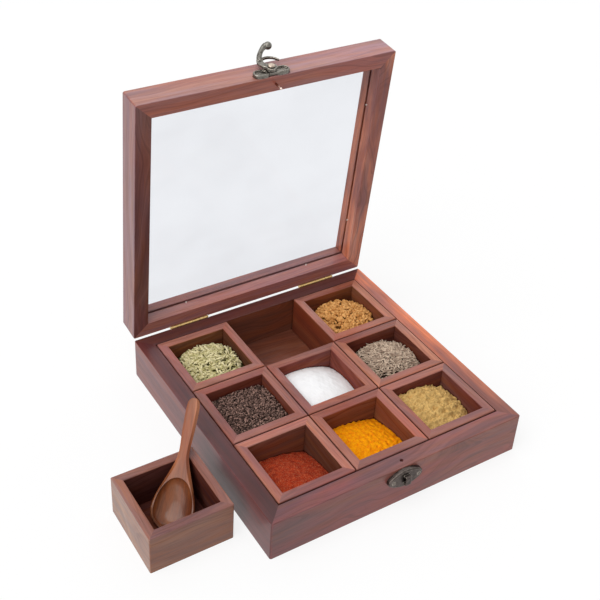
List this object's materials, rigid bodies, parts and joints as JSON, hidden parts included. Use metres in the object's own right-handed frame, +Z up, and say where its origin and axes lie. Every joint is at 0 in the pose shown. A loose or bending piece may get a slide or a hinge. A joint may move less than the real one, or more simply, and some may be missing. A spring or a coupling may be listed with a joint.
{
  "type": "spice box",
  "caption": "Square wooden spice box: mitred tray of loose wooden cups filled with spices, glazed lid on brass butt hinges with a horn latch, and a carved spoon.",
  "frame": {"origin": "centre of the tray's underside", "axes": "+X to the right seen from the front, +Y to the back where the hinges are, +Z up"},
  "size_m": [0.3072, 0.2588, 0.2813],
  "materials": {
    "box_wood": "oiled sheesham, satin",
    "brass": "plain brass",
    "antique_bronze": "antiqued, worn bright on the edges",
    "pane": "clear float glass",
    "cup_wood": "oiled sheesham, satin",
    "chilli_powder": "fine powder",
    "turmeric_powder": "fine powder",
    "coriander_powder": "coarse powder",
    "mustard_seeds": "small round seeds",
    "salt": "fine crystals",
    "cumin_seeds": "slender seeds",
    "fennel_seeds": "slender seeds",
    "fenugreek_seeds": "blocky seeds",
    "spoon_wood": "polished"
  },
  "bodies": {
    "tray": {"tray_floor": "box_wood", "tray_front_wall": "box_wood", "tray_back_wall": "box_wood", "tray_left_wall": "box_wood", "tray_right_wall": "box_wood", "hinge_left_tray_leaf": "brass", "hinge_right_tray_leaf": "brass", "hinge_left_pin": "brass", "hinge_right_pin": "brass", "hinge_tray_screws": "brass", "catch_plate": "antique_bronze", "catch_screws": "antique_bronze"},
    "lid": {"lid_front_rail": "box_wood", "lid_back_rail": "box_wood", "lid_left_rail": "box_wood", "lid_right_rail": "box_wood", "lid_glass": "pane", "glass_brads": "brass", "hinge_left_lid_leaf": "brass", "hinge_right_lid_leaf": "brass", "hinge_lid_screws": "brass", "latch_plate": "antique_bronze", "latch_plate_screws": "antique_bronze", "latch_rivet": "antique_bronze", "locating_pin": "brass"},
    "latch_arm": {"latch_arm": "antique_bronze"},
    "cup_front_left": {"cup_front_left_sides": "cup_wood", "cup_front_left_bottom": "cup_wood", "chilli_powder": "chilli_powder"},
    "cup_front_middle": {"cup_front_middle_sides": "cup_wood", "cup_front_middle_bottom": "cup_wood", "turmeric_powder": "turmeric_powder"},
    "cup_front_right": {"cup_front_right_sides": "cup_wood", "cup_front_right_bottom": "cup_wood", "coriander_powder": "coriander_powder"},
    "cup_middle_left": {"cup_middle_left_sides": "cup_wood", "cup_middle_left_bottom": "cup_wood", "mustard_seeds": "mustard_seeds"},
    "cup_centre": {"cup_centre_sides": "cup_wood", "cup_centre_bottom": "cup_wood", "salt": "salt"},
    "cup_middle_right": {"cup_middle_right_sides": "cup_wood", "cup_middle_right_bottom": "cup_wood", "cumin_seeds": "cumin_seeds"},
    "cup_back_left": {"cup_back_left_sides": "cup_wood", "cup_back_left_bottom": "cup_wood", "fennel_seeds": "fennel_seeds"},
    "cup_back_right": {"cup_back_right_sides": "cup_wood", "cup_back_right_bottom": "cup_wood", "fenugreek_seeds": "fenugreek_seeds"},
    "cup_outer": {"cup_outer_sides": "cup_wood", "cup_outer_bottom": "cup_wood"},
    "spoon": {"spoon": "spoon_wood"}
  },
  "joints": [
    {"name": "lid_hinge", "type": "hinge", "parent": "tray", "child": "lid", "pos_m": [0, 0.11505, 0.0367], "axis": [-1, 0, 0], "range_deg": [-84.3, 95]},
    {"name": "latch_swing", "type": "hinge", "parent": "lid", "child": "latch_arm", "pos_m": [0, 0.10818, 0.1639], "axis": [0, -0.0993, 0.9951], "range_deg": [-151, 60]},
    {"name": "lift_front_left", "type": "slide", "parent": "tray", "child": "cup_front_left", "axis": [0, 0, 1], "range_m": [0, 0.06]},
    {"name": "lift_front_middle", "type": "slide", "parent": "tray", "child": "cup_front_middle", "axis": [0, 0, 1], "range_m": [0, 0.06]},
    {"name": "lift_front_right", "type": "slide", "parent": "tray", "child": "cup_front_right", "axis": [0, 0, 1], "range_m": [0, 0.06]},
    {"name": "lift_middle_left", "type": "slide", "parent": "tray", "child": "cup_middle_left", "axis": [0, 0, 1], "range_m": [0, 0.06]},
    {"name": "lift_centre", "type": "slide", "parent": "tray", "child": "cup_centre", "axis": [0, 0, 1], "range_m": [0, 0.06]},
    {"name": "lift_middle_right", "type": "slide", "parent": "tray", "child": "cup_middle_right", "axis": [0, 0, 1], "range_m": [0, 0.06]},
    {"name": "lift_back_left", "type": "slide", "parent": "tray", "child": "cup_back_left", "axis": [0, 0, 1], "range_m": [0, 0.06]},
    {"name": "lift_back_right", "type": "slide", "parent": "tray", "child": "cup_back_right", "axis": [0, 0, 1], "range_m": [0, 0.06]},
    {"name": "lift_outer", "type": "slide", "parent": "tray", "child": "cup_outer", "axis": [0, 0, 1], "range_m": [0, 0.06]},
    {"name": "spoon_lift", "type": "slide", "parent": "cup_outer", "child": "spoon", "axis": [0, 0, 1], "range_m": [0, 0.08]}
  ]
}
